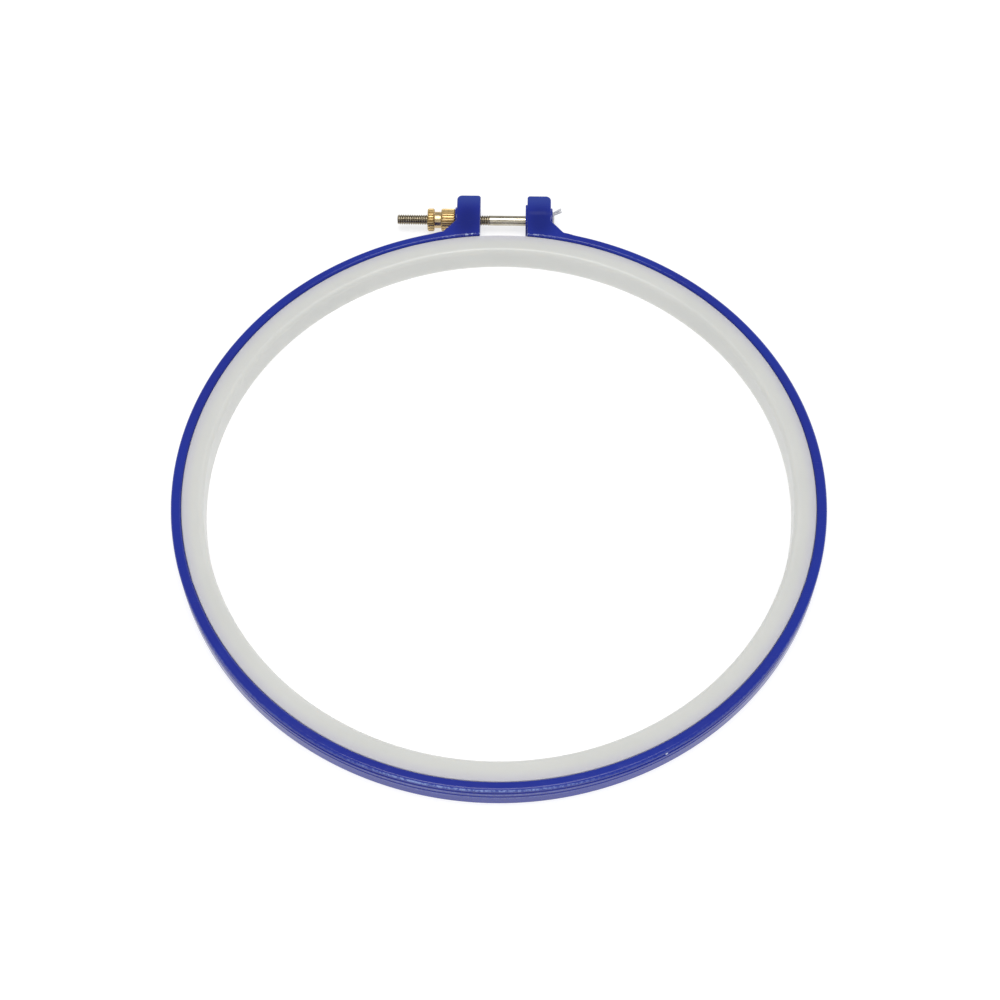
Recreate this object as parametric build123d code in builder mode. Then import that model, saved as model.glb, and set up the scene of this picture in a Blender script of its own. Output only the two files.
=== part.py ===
from build123d import *
import math
import os

# Embroidery hoop: a split outer ring with two clamp lugs, a closed inner ring
# nested in it, a bolt through both lugs and a knurled nut that closes the ring.
# Millimetres. Origin on the rings' common axis, in the plane that the hoop lies
# on. +Z up, +Y towards the clamp, +X to the right seen from the side opposite
# the clamp.

# ---- driving dimensions -------------------------------------------------
# outer ring
OUTER_R = 104.6  # outer wall
OUTER_WALL = 3.25  # radial thickness
OUTER_H = 9.5  # height
OUTER_BORE_R = OUTER_R - OUTER_WALL
GROOVE_Z0, GROOVE_Z1 = 7.3, 8.4  # deeper groove under the upper lip
GROOVE_DEPTH = 0.36
LINE_Z0, LINE_Z1 = 4.8, 5.8  # shallower groove under the rib
LINE_DEPTH = 0.18
TOP_OUT_ROUND = 0.8
TOP_IN_ROUND = 1.0
FOOT_ROUND = 0.4

# inner ring
INNER_R = 101.1  # leaves 0.25 mm of room for cloth inside the outer ring
INNER_BORE_R = 94.3
INNER_H = 8.9
INNER_TOP_IN_ROUND = 1.7
INNER_TOP_OUT_ROUND = 0.4
INNER_FOOT_ROUND = 0.4

# clamp lugs, mirrored about the YZ plane
GAP_HALF = 8.2  # half the gap between the lugs
LUG_OUT_X = 16.45  # outer face
LUG_TIP_Y = 118.5  # far end
LUG_TIP_ROUND_IN = 0.9  # corner beside the gap
LUG_TIP_ROUND_OUT = 1.8  # corner away from the gap
FLANK_Y = 107.7  # where the sloping web leaves the outer face
FLANK_FOOT_X = 20.9  # where the web meets the ring
LUG_EDGE = 0.5  # rounding of the lug's upper and lower edges
PAD_R = 4.5  # round pad about the bore on each lug's outer face
GAP_PAD_R, GAP_PAD_H = 5.6, 8.7  # wider pad, cut flat above and below, on the right lug's gap face
PAD_OUT = 0.6
PAD_EDGE = 0.3
BOLT_Y, BOLT_Z = 111.0, OUTER_H / 2
LUG_BORE_R = 2.1

# bolt: 3.5 mm screw, 32 turns to the inch, hexagon head sunk in the right lug
SCREW_R = 1.75
SCREW_PITCH = 0.794
HEAD_AF = 6.0
HEAD_T = 2.4
POCKET_AF = 6.5
POCKET_DEPTH = 3.0
HEAD_GAP = 0.1  # room under the head for the bolt's small swing
BOLT_TIP_X = -37.3
TIP_CHAMFER = 0.35

# nut: collar at its free end, neck, and the long barrel that bears on the lug
NUT_R = 3.95
NUT_BORE_R = SCREW_R + 0.1  # stands clear of the screw's crests
NUT_NECK_R = 2.85
NUT_COLLAR = 2.35
NUT_NECK = 2.45
NUT_BARREL = 4.8
NUT_TEETH = 24
KNURL_DEPTH = 0.3
NUT_CHAMFER = 0.3
NUT_SEAT_GAP = 0.05

# nylon stub caught over the bolt's head
BAR_R = 0.55
BAR_TILT = 30.0  # degrees from +Y, square to one pair of the pocket's flats
STRAND_R = 0.31
STRAND_L = 3.3

# slit opposite the gap: the ring's flex is gathered into one hinge here
SLIT = 0.3

PAD_X = LUG_OUT_X + PAD_OUT
FLEX_Y = -(OUTER_R - OUTER_WALL / 2)

os.makedirs("parts", exist_ok=True)

# ---- half of the outer ring with its lug, on the +X side ----------------
with BuildPart() as half:
    # the ring's section: round upper edges, a groove and a finer line outside
    with BuildSketch(Plane.XZ) as ring_section:
        with BuildLine():
            Polyline(
                (OUTER_BORE_R, 0),
                (OUTER_R, 0),
                (OUTER_R, LINE_Z0),
                (OUTER_R - LINE_DEPTH, LINE_Z0 + 0.12),
                (OUTER_R - LINE_DEPTH, LINE_Z1 - 0.12),
                (OUTER_R, LINE_Z1),
                (OUTER_R, GROOVE_Z0),
                (OUTER_R - GROOVE_DEPTH, GROOVE_Z0 + 0.15),
                (OUTER_R - GROOVE_DEPTH, GROOVE_Z1 - 0.15),
                (OUTER_R, GROOVE_Z1),
                (OUTER_R, OUTER_H),
                (OUTER_BORE_R, OUTER_H),
                close=True,
            )
        make_face()
        fillet(ring_section.vertices().group_by(Axis.Y)[-1].sort_by(Axis.X)[-1], TOP_OUT_ROUND)
        fillet(ring_section.vertices().group_by(Axis.Y)[-1].sort_by(Axis.X)[0], TOP_IN_ROUND)
        fillet(ring_section.vertices().group_by(Axis.Y)[0], FOOT_ROUND)
    revolve(axis=Axis.Z)

    # lug and sloping web, as high as the ring, rooted inside the ring's wall
    with BuildSketch(Plane.XY) as plan:
        with BuildLine():
            Polyline(
                (GAP_HALF, OUTER_BORE_R + 1.2),
                (GAP_HALF, LUG_TIP_Y),
                (LUG_OUT_X, LUG_TIP_Y),
                (LUG_OUT_X, FLANK_Y),
                (FLANK_FOOT_X, math.sqrt(OUTER_R**2 - FLANK_FOOT_X**2)),
                (FLANK_FOOT_X - 0.4, math.sqrt((OUTER_R - 1.8) ** 2 - FLANK_FOOT_X**2)),
                close=True,
            )
        make_face()
        tips = plan.vertices().group_by(Axis.Y)[-1].sort_by(Axis.X)
        fillet(tips[0], LUG_TIP_ROUND_IN)
        tips = plan.vertices().filter_by(lambda v: v.X > LUG_OUT_X - 0.01).sort_by(Axis.Y)
        fillet(tips[-1], LUG_TIP_ROUND_OUT)
    extrude(amount=OUTER_H)

    # the gap at the clamp
    with BuildSketch(Plane.XY):
        with Locations((0, OUTER_R)):
            Rectangle(2 * GAP_HALF, 30)
    extrude(amount=OUTER_H, mode=Mode.SUBTRACT)

    # this side only, short of the flex hinge by half the slit
    split(bisect_by=Plane.YZ.offset(SLIT / 2), keep=Keep.TOP)

    # rounded upper and lower edges round the lug's free end
    rims = half.edges().filter_by(
        lambda e: (abs(e.center().Z - OUTER_H) < 0.01 or abs(e.center().Z) < 0.01)
        and e.center().Y > OUTER_R + 1.5
        and e.center().X < FLANK_FOOT_X - 2.5
    )
    fillet(rims, LUG_EDGE)

    # round pad about the bore, standing out from the lug's outer face
    with BuildSketch(Plane.XY.offset(BOLT_Z)) as pad_section:
        with BuildLine():
            Polyline(
                (LUG_OUT_X - 1, BOLT_Y),
                (LUG_OUT_X - 1, BOLT_Y + PAD_R),
                (PAD_X, BOLT_Y + PAD_R),
                (PAD_X, BOLT_Y),
                close=True,
            )
        make_face()
        fillet(pad_section.vertices().group_by(Axis.Y)[-1].sort_by(Axis.X)[-1], PAD_EDGE)
    revolve(axis=Axis((0, BOLT_Y, BOLT_Z), (1, 0, 0)))

    # bolt hole
    with BuildSketch(Plane.YZ):
        with Locations((BOLT_Y, BOLT_Z)):
            Circle(LUG_BORE_R)
    extrude(amount=2 * LUG_OUT_X, mode=Mode.SUBTRACT)

# ---- right half: its lug has the pocket that holds the bolt's head ------
with BuildPart() as outer_ring_right:
    add(half.part)
    # the bolt also bears on a pad on this lug's gap face
    with BuildSketch(Plane.YZ.offset(GAP_HALF - PAD_OUT)):
        with Locations((BOLT_Y, BOLT_Z)):
            Circle(GAP_PAD_R)
            Rectangle(2 * GAP_PAD_R, GAP_PAD_H, mode=Mode.INTERSECT)
            Circle(LUG_BORE_R, mode=Mode.SUBTRACT)
    extrude(amount=PAD_OUT)
    fillet([e for e in outer_ring_right.edges() if abs(e.center().X - GAP_HALF + PAD_OUT) < 0.01 and e.length > 7], PAD_EDGE)
    with BuildSketch(Plane.YZ.offset(PAD_X - POCKET_DEPTH)):
        with Locations((BOLT_Y, BOLT_Z)):
            RegularPolygon(POCKET_AF / 2, 6, major_radius=False)
    extrude(amount=2 * POCKET_DEPTH, mode=Mode.SUBTRACT)
outer_ring_right.part.label = "outer_ring_right"
export_step(outer_ring_right.part, "parts/outer_ring_right.step")

# ---- left half: plain bore, the nut bears on its lug ---------------------
with BuildPart() as outer_ring_left:
    mirror(half.part, about=Plane.YZ)
outer_ring_left.part.label = "outer_ring_left"
export_step(outer_ring_left.part, "parts/outer_ring_left.step")

# ---- inner ring: closed, sharp at the lower inner edge -------------------
with BuildPart() as inner_ring:
    with BuildSketch(Plane.XZ) as inner_section:
        with BuildLine():
            Polyline(
                (INNER_BORE_R, 0),
                (INNER_R, 0),
                (INNER_R, INNER_H),
                (INNER_BORE_R, INNER_H),
                close=True,
            )
        make_face()
        fillet(inner_section.vertices().group_by(Axis.Y)[-1].sort_by(Axis.X)[-1], INNER_TOP_OUT_ROUND)
        fillet(inner_section.vertices().group_by(Axis.Y)[-1].sort_by(Axis.X)[0], INNER_TOP_IN_ROUND)
        fillet(inner_section.vertices().group_by(Axis.Y)[0].sort_by(Axis.X)[-1], INNER_FOOT_ROUND)
    revolve(axis=Axis.Z)
inner_ring.part.label = "inner_ring"
export_step(inner_ring.part, "parts/inner_ring.step")

# ---- clamp bolt: head in the right lug's pocket, tip to the left ---------
HEAD_X = PAD_X - POCKET_DEPTH + HEAD_GAP
with BuildPart() as clamp_bolt:
    with BuildSketch(Plane.YZ.offset(BOLT_TIP_X)):
        with Locations((BOLT_Y, BOLT_Z)):
            Circle(SCREW_R)
    extrude(amount=HEAD_X - BOLT_TIP_X)
    chamfer(clamp_bolt.edges().group_by(Axis.X)[0], TIP_CHAMFER)
    with BuildSketch(Plane.YZ.offset(HEAD_X)):
        with Locations((BOLT_Y, BOLT_Z)):
            RegularPolygon(HEAD_AF / 2, 6, major_radius=False)
    extrude(amount=HEAD_T)
clamp_bolt.part.label = "clamp_bolt"
export_step(clamp_bolt.part, "parts/clamp_bolt.step")

# ---- knurled nut ---------------------------------------------------------
NUT_X1 = -PAD_X - NUT_SEAT_GAP
NUT_X0 = NUT_X1 - NUT_BARREL - NUT_NECK - NUT_COLLAR
with BuildPart() as knurled_nut:
    # straight knurl: a toothed outline along the whole nut
    teeth = []
    for i in range(NUT_TEETH):
        for share, r in ((0.0, NUT_R - KNURL_DEPTH), (0.28, NUT_R), (0.72, NUT_R)):
            turn = 2 * math.pi * (i + share) / NUT_TEETH
            teeth.append((BOLT_Y + r * math.cos(turn), BOLT_Z + r * math.sin(turn)))
    with BuildSketch(Plane.YZ.offset(NUT_X0)):
        with BuildLine():
            Polyline(*teeth, close=True)
        make_face()
    extrude(amount=NUT_X1 - NUT_X0)
    # turned down to the neck between the collar and the barrel
    with BuildSketch(Plane.YZ.offset(NUT_X0 + NUT_COLLAR)):
        with Locations((BOLT_Y, BOLT_Z)):
            Circle(NUT_R + 1)
            Circle(NUT_NECK_R, mode=Mode.SUBTRACT)
    extrude(amount=NUT_NECK, mode=Mode.SUBTRACT)
    # bevelled ends
    with BuildSketch(Plane.XY.offset(BOLT_Z)):
        with BuildLine():
            Polyline(
                (NUT_X0, BOLT_Y),
                (NUT_X0, BOLT_Y + NUT_R - NUT_CHAMFER),
                (NUT_X0 + NUT_CHAMFER, BOLT_Y + NUT_R),
                (NUT_X1 - NUT_CHAMFER, BOLT_Y + NUT_R),
                (NUT_X1, BOLT_Y + NUT_R - NUT_CHAMFER),
                (NUT_X1, BOLT_Y),
                close=True,
            )
        make_face()
    revolve(axis=Axis((0, BOLT_Y, BOLT_Z), (1, 0, 0)), mode=Mode.INTERSECT)
    # bore, clear of the screw's crests
    with BuildSketch(Plane.YZ.offset(NUT_X0)):
        with Locations((BOLT_Y, BOLT_Z)):
            Circle(NUT_BORE_R)
    extrude(amount=NUT_X1 - NUT_X0, mode=Mode.SUBTRACT)
knurled_nut.part.label = "knurled_nut"
export_step(knurled_nut.part, "parts/knurled_nut.step")

# ---- nylon stub: a bar across the pocket's mouth and two cut strands -----
bar_dir = Vector(0, math.cos(math.radians(BAR_TILT)), math.sin(math.radians(BAR_TILT)))
bar_mid = Vector(PAD_X + 0.15, BOLT_Y, BOLT_Z)
with BuildPart() as tag_fastener_stub:
    with BuildSketch(Plane(origin=bar_mid - bar_dir * (POCKET_AF / 2), z_dir=bar_dir)):
        Circle(BAR_R)
    extrude(amount=POCKET_AF)
    for along, lean in ((2.15, (2.75, 0.62, 1.0)), (2.72, (2.75, 0.95, 1.3))):
        start = bar_mid + bar_dir * along + Vector(0.05, 0, 0)
        with BuildSketch(Plane(origin=start, z_dir=Vector(*lean).normalized())):
            Circle(STRAND_R)
        extrude(amount=STRAND_L)
tag_fastener_stub.part.label = "tag_fastener_stub"
export_step(tag_fastener_stub.part, "parts/tag_fastener_stub.step")

print("flex hinge at y", round(FLEX_Y, 4), "bolt axis", BOLT_Y, BOLT_Z)
print("head from", round(HEAD_X, 3), "to", round(HEAD_X + HEAD_T, 3))
print("nut from", round(NUT_X0, 3), "to", round(NUT_X1, 3))
print(
    "ring turn per nut turn (radians each)",
    SCREW_PITCH / (2 * math.pi) / (BOLT_Y - FLEX_Y),
)
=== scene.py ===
import math

import bmesh
import bpy
import numpy as np
from mathutils import Matrix, Vector


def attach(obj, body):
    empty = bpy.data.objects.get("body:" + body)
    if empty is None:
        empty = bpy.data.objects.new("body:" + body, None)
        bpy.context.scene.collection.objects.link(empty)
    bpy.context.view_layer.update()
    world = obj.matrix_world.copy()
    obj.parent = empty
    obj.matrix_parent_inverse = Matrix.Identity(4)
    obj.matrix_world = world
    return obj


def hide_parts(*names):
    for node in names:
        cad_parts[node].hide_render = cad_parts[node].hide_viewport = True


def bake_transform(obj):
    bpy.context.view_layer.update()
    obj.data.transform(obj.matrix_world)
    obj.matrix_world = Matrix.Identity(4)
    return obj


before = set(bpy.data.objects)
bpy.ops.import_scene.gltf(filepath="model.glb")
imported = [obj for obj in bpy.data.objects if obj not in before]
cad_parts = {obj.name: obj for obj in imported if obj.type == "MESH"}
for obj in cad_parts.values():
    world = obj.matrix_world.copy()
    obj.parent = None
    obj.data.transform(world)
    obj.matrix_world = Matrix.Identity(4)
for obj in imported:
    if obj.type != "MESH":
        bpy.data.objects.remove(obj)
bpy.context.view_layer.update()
scene = bpy.context.scene

MM = 0.001

# ---------------------------------------------------------------- sizes, mm
OUTER_R = 104.6
BORE_R = 101.35
HEIGHT = 9.5
TOP_OUT, TOP_IN, FOOT, LUG_EDGE = 1.05, 1.0, 0.4, 0.5
GAP_X = 8.2
LUG_X = 16.45
TIP_Y = 118.5
FLANK_Y = 107.7
FLANK_FOOT_X = 20.9
BOLT_Y, BOLT_Z = 111.0, 4.75
PAD_X = 17.05
PAD_R = 4.5
GAP_PAD_R, GAP_PAD_HALF = 5.6, 4.35
NUB_AT = 150.695  # degrees clockwise from the clamp, seen from above

# =================================================================== camera
FOCAL, ELEV, DIST, TURN = 1915.0, math.radians(59.36), 0.620, math.radians(0.90)
forward = Vector((-math.cos(ELEV) * math.sin(TURN), math.cos(ELEV) * math.cos(TURN), -math.sin(ELEV)))
right = Vector((math.cos(TURN), math.sin(TURN), 0.0))
up = right.cross(forward)
cam_data = bpy.data.cameras.new("camera")
cam = bpy.data.objects.new("camera", cam_data)
scene.collection.objects.link(cam)
cam_data.sensor_fit = "HORIZONTAL"
cam_data.sensor_width = 36.0
cam_data.lens = FOCAL / 1000.0 * 36.0
cam_data.shift_x = (500.0 - 498.90) / 1000.0
cam_data.shift_y = (499.55 - 500.0) / 1000.0
cam_data.clip_start, cam_data.clip_end = 0.01, 50.0
cam.matrix_world = Matrix.Translation(-forward * DIST) @ Matrix((right, up, -forward)).transposed().to_4x4()
scene.camera = cam


# ==================================================================== tools
def link(obj):
    scene.collection.objects.link(obj)
    return obj


def mesh_object(name, verts_mm, faces):
    me = bpy.data.meshes.new(name)
    me.from_pydata([tuple(float(c) * MM for c in v) for v in verts_mm], [], faces)
    me.validate()
    me.update()
    return link(bpy.data.objects.new(name, me))


def tidy(obj, merge=1e-7):
    bm = bmesh.new()
    bm.from_mesh(obj.data)
    if merge:
        bmesh.ops.remove_doubles(bm, verts=bm.verts, dist=merge)
        bmesh.ops.dissolve_degenerate(bm, dist=merge * 0.5, edges=bm.edges)
    bmesh.ops.recalc_face_normals(bm, faces=bm.faces)
    bm.to_mesh(obj.data)
    bm.free()
    obj.data.update()


def smooth(obj, angle=32.0, weighted=True):
    """Smooth faces, with the edges sharper than the angle kept sharp."""
    bm = bmesh.new()
    bm.from_mesh(obj.data)
    limit = math.radians(angle)
    for e in bm.edges:
        e.smooth = len(e.link_faces) == 2 and e.calc_face_angle(0.0) < limit
    for f in bm.faces:
        f.smooth = True
    bm.to_mesh(obj.data)
    bm.free()
    obj.data.update()
    if weighted:
        m = obj.modifiers.new("weighted", "WEIGHTED_NORMAL")
        m.weight = 60
        m.keep_sharp = True
        m.mode = "FACE_AREA"


def boolean(obj, tool, how):
    m = obj.modifiers.new("cut", "BOOLEAN")
    m.operation = how
    m.solver = "EXACT"
    m.object = tool
    dg = bpy.context.evaluated_depsgraph_get()
    made = bpy.data.meshes.new_from_object(obj.evaluated_get(dg))
    obj.modifiers.remove(m)
    old = obj.data
    obj.data = made
    made.name = obj.name
    bpy.data.meshes.remove(old)
    gone = tool.data
    bpy.data.objects.remove(tool)
    bpy.data.meshes.remove(gone)


def round_corner(prev, at, nxt, radius, steps):
    """Points of an arc that rounds a corner, each with its outward normal. The solid is on the left of the way."""
    prev, at, nxt = (np.asarray(p, float) for p in (prev, at, nxt))
    a, b = prev - at, nxt - at
    a, b = a / np.linalg.norm(a), b / np.linalg.norm(b)
    inner = math.acos(max(-1.0, min(1.0, float(a @ b))))
    run = radius / math.tan(inner / 2)
    mid = a + b
    mid /= np.linalg.norm(mid)
    centre = at + mid * radius / math.sin(inner / 2)
    n0 = np.array([-a[1], a[0]])  # right of the way in, which runs along -a
    n1 = np.array([b[1], -b[0]])  # right of the way out
    t0, t1 = math.atan2(n0[1], n0[0]), math.atan2(n1[1], n1[0])
    turn = (t1 - t0 + math.pi) % (2 * math.pi) - math.pi
    side = 1.0 if float((at - centre) @ (n0 + n1)) > 0 else -1.0
    out = []
    for k in range(steps + 1):
        t = t0 + turn * k / steps
        n = np.array([math.cos(t), math.sin(t)])
        out.append((centre + n * radius * side, n))
    return out


def along(a, b, pieces):
    """Points between two outline points, with the line's own normal."""
    (p, n), (q, _) = a, b
    return [(p + (q - p) * k / pieces, n) for k in range(1, pieces)]


def ease(t):
    t = np.clip(t, 0.0, 1.0)
    return t * t * (3 - 2 * t)


def lathe(name, profile, axis_y, axis_z, around=64, flute=None):
    """Closed solid turned about a line along X through (axis_y, axis_z). profile is (x, r) from one end to the other, with r 0 at both."""
    verts, faces = [], []
    rings = []
    for x, r in profile:
        if r < 1e-9:
            rings.append([len(verts)])
            verts.append((x, axis_y, axis_z))
            continue
        ring = []
        for k in range(around):
            t = 2 * math.pi * k / around
            rr = r if flute is None else flute(x, r, t)
            ring.append(len(verts))
            verts.append((x, axis_y + rr * math.cos(t), axis_z + rr * math.sin(t)))
        rings.append(ring)
    for a, b in zip(rings, rings[1:]):
        if len(a) == 1:
            faces += [(a[0], b[(k + 1) % around], b[k]) for k in range(around)]
        elif len(b) == 1:
            faces += [(a[k], a[(k + 1) % around], b[0]) for k in range(around)]
        else:
            faces += [(a[k], a[(k + 1) % around], b[(k + 1) % around], b[k]) for k in range(around)]
    obj = mesh_object(name, verts, faces)
    tidy(obj)
    return obj


def arc_profile(cx, cr, radius, t0, t1, steps):
    """(x, r) points of an arc in the turning plane, angles in degrees from +x."""
    return [
        (cx + radius * math.cos(math.radians(t0 + (t1 - t0) * k / steps)), cr + radius * math.sin(math.radians(t0 + (t1 - t0) * k / steps)))
        for k in range(steps + 1)
    ]


# =============================================================== outer ring
def outer_ring():
    """The whole split ring with both lugs as one closed skin: plan outline, drawn in at each level by its edge rounds and grooves."""
    foot_t = math.asin(FLANK_FOOT_X / OUTER_R)
    e_pt = np.array([OUTER_R * math.sin(foot_t), OUTER_R * math.cos(foot_t)])
    e_before = e_pt + 3.0 * np.array([math.cos(foot_t), -math.sin(foot_t)])
    d_pt, c_pt, b_pt = np.array([LUG_X, FLANK_Y]), np.array([LUG_X, TIP_Y]), np.array([GAP_X, TIP_Y])
    gap_t = math.asin(GAP_X / BORE_R)
    a_pt = np.array([GAP_X, BORE_R * math.cos(gap_t)])
    a_after = a_pt + 3.0 * np.array([math.cos(gap_t), -math.sin(gap_t)])

    e = round_corner(e_before, e_pt, d_pt, 1.4, 8)
    d = round_corner(e_pt, d_pt, c_pt, 0.7, 7)
    c = round_corner(d_pt, c_pt, b_pt, 1.8, 14)
    b = round_corner(c_pt, b_pt, a_pt, 0.9, 10)
    a = round_corner(b_pt, a_pt, a_after, 0.62, 8)
    lug = (
        e + along(e[-1], d[0], 8) + d + along(d[-1], c[0], 14) + c + along(c[-1], b[0], 8)
        + b + along(b[-1], a[0], 22) + a
    )
    # clockwise angles of the points that the two arcs share
    start = foot_t + 1.1 / OUTER_R
    fine = math.radians(NUB_AT)
    angles = list(np.linspace(start, start + 0.06, 12)[:-1])
    angles += list(np.linspace(start + 0.06, 2 * math.pi - start - 0.06, 641))
    angles += list(np.linspace(2 * math.pi - start - 0.06, 2 * math.pi - start, 12)[1:])
    angles += list(np.linspace(fine - 0.011, fine + 0.011, 29))
    angles = np.array(sorted(set(round(float(t), 7) for t in angles)))
    keep = [0]
    for k in range(1, len(angles)):
        if angles[k] - angles[keep[-1]] > 2.5e-4:
            keep.append(k)
    angles = angles[keep]
    inner_extra = []
    t_a = math.atan2(a[-1][0][0], a[-1][0][1])
    for t in np.linspace(t_a, start, 14)[1:-1]:
        n = np.array([math.sin(t), math.cos(t)])
        inner_extra.append((BORE_R * n, -n))

    lug = [(p, n, "lug") for p, n in lug]
    section = lug + [(p, n, "in") for p, n in inner_extra]
    mirror = [(p * [-1, 1], n * [-1, 1], kind) for p, n, kind in reversed(section)]
    inner = [(BORE_R * np.array([math.sin(t), math.cos(t)]), -np.array([math.sin(t), math.cos(t)]), "in") for t in angles]
    outer = [(OUTER_R * np.array([math.sin(t), math.cos(t)]), np.array([math.sin(t), math.cos(t)]), "out") for t in angles[::-1]]
    loop = section + inner + mirror + outer
    n_sec, m, total = len(section), len(angles), len(loop)
    P = np.array([p for p, _, _ in loop])
    N = np.array([n for _, n, _ in loop])
    kind = [k for _, _, k in loop]

    # how far each point of an arc lies from the lug, along the arc
    rt = np.full(total, LUG_EDGE)
    rf = np.full(total, LUG_EDGE)
    groove = np.zeros(total)
    nub = np.zeros(total)
    for i in range(total):
        t = math.atan2(abs(P[i, 0]), P[i, 1])
        if kind[i] == "in":
            s = (t - gap_t) * BORE_R
            rt[i] = LUG_EDGE + (TOP_IN - LUG_EDGE) * ease((s - 0.6) / 4.0)
            rf[i] = LUG_EDGE + (FOOT - LUG_EDGE) * ease((s - 0.6) / 4.0)
        elif kind[i] == "out":
            s = (t - foot_t) * OUTER_R
            rt[i] = LUG_EDGE + (TOP_OUT - LUG_EDGE) * ease((s - 0.8) / 4.0)
            rf[i] = LUG_EDGE + (FOOT - LUG_EDGE) * ease((s - 0.8) / 4.0)
            groove[i] = ease((s - 1.0) / 2.2)
            clockwise = math.atan2(P[i, 0], P[i, 1]) % (2 * math.pi)
            off = (clockwise - fine) * OUTER_R
            nub[i] = math.exp(-((off / 0.42) ** 2)) if abs(off) < 1.3 else 0.0

    # wall levels: height, groove depth
    wall = [
        (1.2, 0.0), (2.6, 0.0), (4.0, 0.0),
        (4.72, 0.0), (4.80, 0.012), (4.87, 0.045), (4.97, 0.14), (5.05, 0.17), (5.15, 0.18),
        (5.45, 0.18), (5.55, 0.17), (5.63, 0.14), (5.73, 0.045), (5.80, 0.012), (5.88, 0.0),
        (6.5, 0.0),
        (7.08, 0.0), (7.18, 0.012), (7.28, 0.05), (7.40, 0.18), (7.48, 0.23), (7.58, 0.255), (7.68, 0.26),
        (7.80, 0.26), (7.90, 0.255), (8.00, 0.23), (8.08, 0.18), (8.20, 0.05), (8.30, 0.012), (8.39, 0.0),
    ]
    Z, D = [], []
    for k in range(7):
        t = math.radians(90 * k / 6)
        Z.append(rf * (1 - math.cos(t)))
        D.append(rf * (1 - math.sin(t)))
    for z, depth in wall:
        fill = 1.0 - 0.93 * nub * math.exp(-(((z - 7.74) / 0.62) ** 2)) if 7.0 < z < 8.7 else np.ones(total)
        Z.append(np.full(total, z))
        D.append(depth * groove * fill)
    for k in range(11):
        t = math.radians(90 * k / 10)
        Z.append(HEIGHT - rt + rt * math.sin(t))
        D.append(rt * (1 - math.cos(t)))
    levels = len(Z)
    verts = np.zeros((levels, total, 3))
    for k in range(levels):
        verts[k, :, :2] = P - N * D[k][:, None]
        verts[k, :, 2] = Z[k]
    faces = []
    for k in range(levels - 1):
        for i in range(total):
            j = (i + 1) % total
            faces.append((k * total + i, k * total + j, (k + 1) * total + j, (k + 1) * total + i))
    top = (levels - 1) * total
    for base, flip in ((0, True), (top, False)):
        def add(f):
            f = [base + i for i in f]
            faces.append(tuple(reversed(f)) if flip else tuple(f))
        for k in range(m - 1):
            i0, i1 = n_sec + k, n_sec + k + 1
            o0, o1 = total - 1 - k, total - 2 - k
            add((i0, i1, o1, o0))
        add([total - 1] + list(range(0, n_sec + 1)))
        add(list(range(n_sec + m - 1, 2 * n_sec + m + 1)))
    ring = mesh_object("outer_ring", verts.reshape(-1, 3), faces)
    tidy(ring, merge=0)

    # round bosses about the bolt on the lugs' outer faces
    for side in (1, -1):
        x0, x1 = 9.0, PAD_X
        profile = [(x0, 0.0), (x0, PAD_R)]
        profile += arc_profile(x1 - 0.35, PAD_R - 0.35, 0.35, 90, 0, 6)
        profile += [(x1, 0.0)]
        profile = [(side * x, r) for x, r in profile]
        boss = lathe("boss", profile, BOLT_Y, BOLT_Z, 96)
        boolean(ring, boss, "UNION")
    # a wider one, flat above and below, on the right lug's gap face
    outline = []
    for k in range(160):
        t = 2 * math.pi * k / 160
        c, d = GAP_PAD_R * math.cos(t), GAP_PAD_R * math.sin(t)
        # soft corners where the circle meets the flats
        flat = GAP_PAD_HALF * math.tanh(abs(d) / GAP_PAD_HALF * 1.9) / math.tanh(1.9 * GAP_PAD_R / GAP_PAD_HALF)
        outline.append((c, math.copysign(min(abs(d), flat + 0.02), d)))
    pad_v, pad_f = [], []
    rows = [(11.0, 0.0)] + [(7.6 + 0.35 * (1 - math.cos(math.radians(90 - 15 * k))), 0.35 * (1 - math.sin(math.radians(90 - 15 * k)))) for k in range(7)]
    for x, inset in rows:
        for c, d in outline:
            n = math.hypot(c, d)
            pad_v.append((x, BOLT_Y + c * (n - inset) / n, BOLT_Z + d * (n - inset) / n))
    for j in range(len(rows) - 1):
        a0, b0 = j * 160, (j + 1) * 160
        pad_f += [(a0 + k, a0 + (k + 1) % 160, b0 + (k + 1) % 160, b0 + k) for k in range(160)]
    pad_f += [tuple(range(159, -1, -1)), tuple(range((len(rows) - 1) * 160, len(rows) * 160))]
    pad = mesh_object("gap_pad", pad_v, pad_f)
    tidy(pad, merge=0)
    boolean(ring, pad, "UNION")
    # bolt holes with a slight lead-in
    for side in (1, -1):
        profile = [(6.5, 0.0), (6.5, 3.9), (8.2, 2.35), (8.45, 2.1), (16.8, 2.1), (17.05, 2.35), (18.0, 3.3), (18.0, 0.0)]
        if side > 0:
            profile = [(6.5, 0.0), (6.5, 3.3), (7.6, 2.35), (7.85, 2.1), (18.0, 2.1), (18.0, 0.0)]
        bore = lathe("bore", [(side * x, r) for x, r in profile], BOLT_Y, BOLT_Z, 64)
        boolean(ring, bore, "DIFFERENCE")
    # six-sided pocket in the right lug, chamfered at its mouth
    verts, faces = [], []
    for x, across in ((14.05, 6.5), (16.85, 6.5), (17.05, 6.75), (18.0, 7.7)):
        r = across / 2 / math.cos(math.pi / 6)
        for k in range(6):
            t = math.radians(60 * k)
            verts.append((x, BOLT_Y + r * math.cos(t), BOLT_Z + r * math.sin(t)))
    for a0 in (0, 6, 12):
        faces += [(a0 + k, a0 + (k + 1) % 6, a0 + 6 + (k + 1) % 6, a0 + 6 + k) for k in range(6)]
    faces += [tuple(range(5, -1, -1)), tuple(range(18, 24))]
    pocket = mesh_object("pocket", verts, faces)
    tidy(pocket)
    boolean(ring, pocket, "DIFFERENCE")
    smooth(ring, 31.0)
    return ring


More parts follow.
